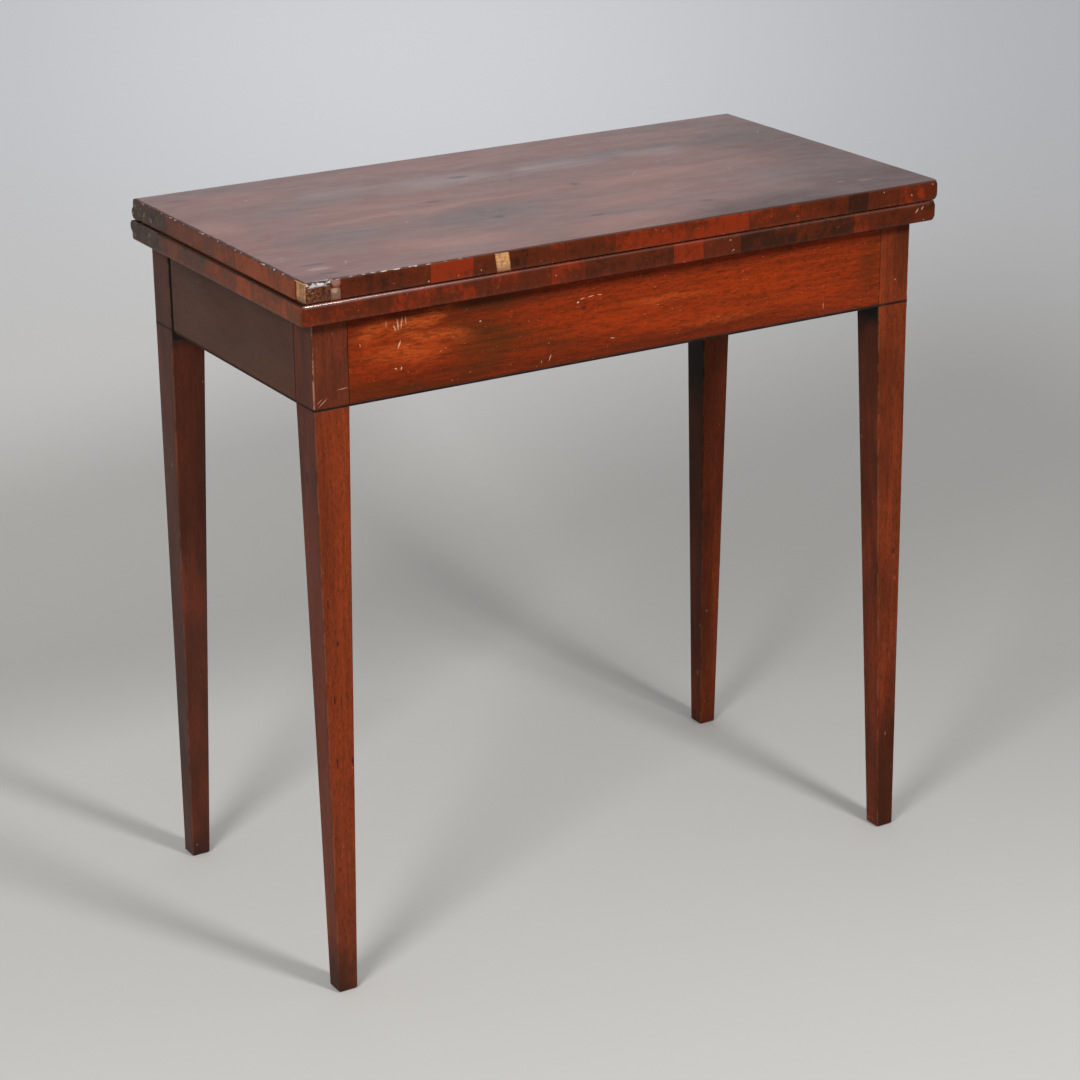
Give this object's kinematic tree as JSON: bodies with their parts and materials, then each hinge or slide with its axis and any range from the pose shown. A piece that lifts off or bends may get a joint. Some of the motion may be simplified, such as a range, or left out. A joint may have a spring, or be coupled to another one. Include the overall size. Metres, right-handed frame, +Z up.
{
  "type": "folding card table",
  "caption": "Mahogany fold-over card table on square tapered legs, with a hinged upper leaf that opens back onto a swinging rear leg.",
  "frame": {"origin": "on the floor, at the middle of the closed table's bounding box", "axes": "+Z up, the frieze's front looks along -Y, the leaves' length runs along X"},
  "size_m": [0.7352, 0.3868, 0.74],
  "materials": {
    "top_mahogany": "satin, worn polish, grain along X",
    "edge_mahogany": "satin, short cross-grained lengths",
    "frieze_mahogany": "satin, warm figured veneer",
    "leg_mahogany": "satin, rubbed arrises",
    "side_mahogany": "dull dark brown",
    "pale_softwood": "bare, dusty",
    "beech": "bare, darkened by age",
    "black_string": "satin",
    "tarnished_brass": "dark tarnish",
    "iron": "dark, dull",
    "green_baize": "napped wool"
  },
  "bodies": {
    "frame": {"back_rail_screws": "iron", "fixed_back_rail": "beech", "fixed_leg_strings": "black_string", "front_left_leg": "leg_mahogany", "front_rail": "pale_softwood", "front_rail_veneer": "frieze_mahogany", "front_right_leg": "leg_mahogany", "glue_blocks": "pale_softwood", "inner_back_rail": "pale_softwood", "knuckle_pin": "iron", "left_side_rail": "side_mahogany", "lower_leaf_baize": "green_baize", "lower_leaf_border": "edge_mahogany", "lower_leaf_core": "pale_softwood", "lower_leaf_front_edge_veneer": "edge_mahogany", "lower_leaf_hinge_lip": "edge_mahogany", "lower_leaf_hinge_plates": "tarnished_brass", "lower_leaf_hinge_screws": "tarnished_brass", "lower_leaf_left_edge_veneer": "edge_mahogany", "lower_leaf_right_edge_veneer": "edge_mahogany", "pocket_screws": "iron", "rail_strings": "black_string", "rear_right_leg": "leg_mahogany", "right_side_rail": "side_mahogany"},
    "swing_gate": {"fly_rail": "beech", "swing_leg": "leg_mahogany", "swing_leg_string": "black_string"},
    "hinge_links": {"leaf_hinge_links": "tarnished_brass", "leaf_hinge_pins": "tarnished_brass"},
    "upper_leaf": {"upper_leaf_baize": "green_baize", "upper_leaf_border": "edge_mahogany", "upper_leaf_core": "pale_softwood", "upper_leaf_front_edge_veneer": "edge_mahogany", "upper_leaf_hinge_lip": "edge_mahogany", "upper_leaf_hinge_plates": "tarnished_brass", "upper_leaf_hinge_screws": "tarnished_brass", "upper_leaf_left_edge_veneer": "edge_mahogany", "upper_leaf_right_edge_veneer": "edge_mahogany", "upper_leaf_top_veneer": "top_mahogany"}
  },
  "joints": [
    {"name": "gate_swing", "type": "hinge", "parent": "frame", "child": "swing_gate", "pos_m": [0.0079, 0.1521, 0.656], "axis": [0, 0, -1], "range_deg": [0, 90]},
    {"name": "leaf_fold", "type": "hinge", "parent": "frame", "child": "hinge_links", "pos_m": [0, 0.1872, 0.7122], "axis": [-1, 0, 0], "range_deg": [0, 90]},
    {"name": "leaf_turn", "type": "hinge", "parent": "hinge_links", "child": "upper_leaf", "pos_m": [0, 0.1872, 0.7258], "axis": [-1, 0, 0], "range_deg": [0, 90]}
  ],
  "couplings": [
    {"joint": "leaf_turn", "follows": "leaf_fold", "ratio": 1}
  ]
}
